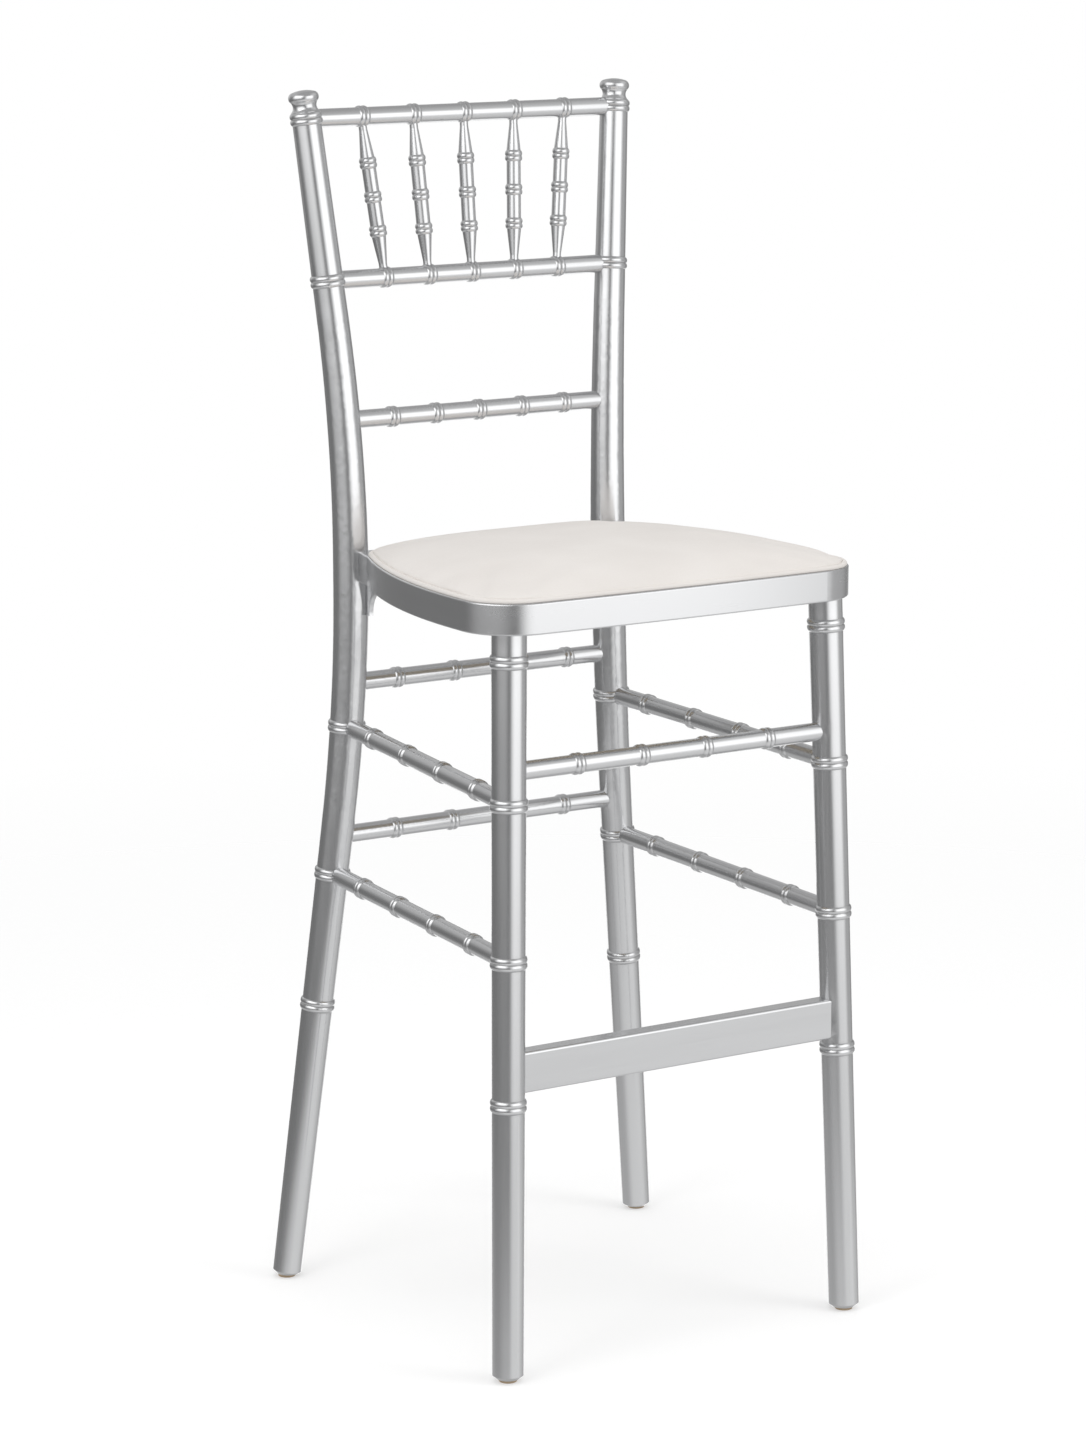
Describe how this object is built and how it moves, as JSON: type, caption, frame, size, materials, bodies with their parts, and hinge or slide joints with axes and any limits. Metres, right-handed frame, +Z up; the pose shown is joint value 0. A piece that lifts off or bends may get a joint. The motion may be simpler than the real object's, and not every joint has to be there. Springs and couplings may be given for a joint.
{
  "type": "chiavari bar stool",
  "caption": "Bar-height ballroom stool of silver-lacquered turned wood with bamboo rings, a spindle back, a flat footrest and a padded pale drop-in seat.",
  "frame": {"origin": "on the floor, under the middle of the stool's box", "axes": "+Z up, -Y the way the sitter faces, +X to the right seen from the front"},
  "size_m": [0.4422, 0.4075, 1.1568],
  "materials": {
    "silver_lacquer": "satin silver metallic lacquer on wood",
    "vinyl": "matt off-white upholstery vinyl",
    "foam": "open-cell seat foam",
    "plywood": "bare birch plywood",
    "beech": "fluted beech dowel, plain",
    "steel": "zinc-plated steel",
    "nylon": "tan nylon"
  },
  "bodies": {
    "root": {"back_spindle_1": "silver_lacquer", "back_spindle_2": "silver_lacquer", "back_spindle_3": "silver_lacquer", "back_spindle_4": "silver_lacquer", "back_spindle_5": "silver_lacquer", "crest_rail": "silver_lacquer", "foot_glide_front_left": "nylon", "foot_glide_front_right": "nylon", "foot_glide_rear_left": "nylon", "foot_glide_rear_right": "nylon", "footrest_board": "silver_lacquer", "front_leg_left": "silver_lacquer", "front_leg_right": "silver_lacquer", "front_stretcher": "silver_lacquer", "glide_nails": "steel", "lumbar_rail": "silver_lacquer", "post_dowels": "beech", "rear_post_left": "silver_lacquer", "rear_post_right": "silver_lacquer", "rear_stretcher_lower": "silver_lacquer", "rear_stretcher_upper": "silver_lacquer", "seat_board": "plywood", "seat_corbel_left": "silver_lacquer", "seat_corbel_right": "silver_lacquer", "seat_cover": "vinyl", "seat_foam": "foam", "seat_front_rail": "silver_lacquer", "seat_rail_dowels": "beech", "seat_rear_rail": "silver_lacquer", "seat_screws": "steel", "seat_side_rail_left": "silver_lacquer", "seat_side_rail_right": "silver_lacquer", "side_stretcher_lower_left": "silver_lacquer", "side_stretcher_lower_right": "silver_lacquer", "side_stretcher_upper_left": "silver_lacquer", "side_stretcher_upper_right": "silver_lacquer", "spindle_rail": "silver_lacquer"}
  },
  "joints": []
}
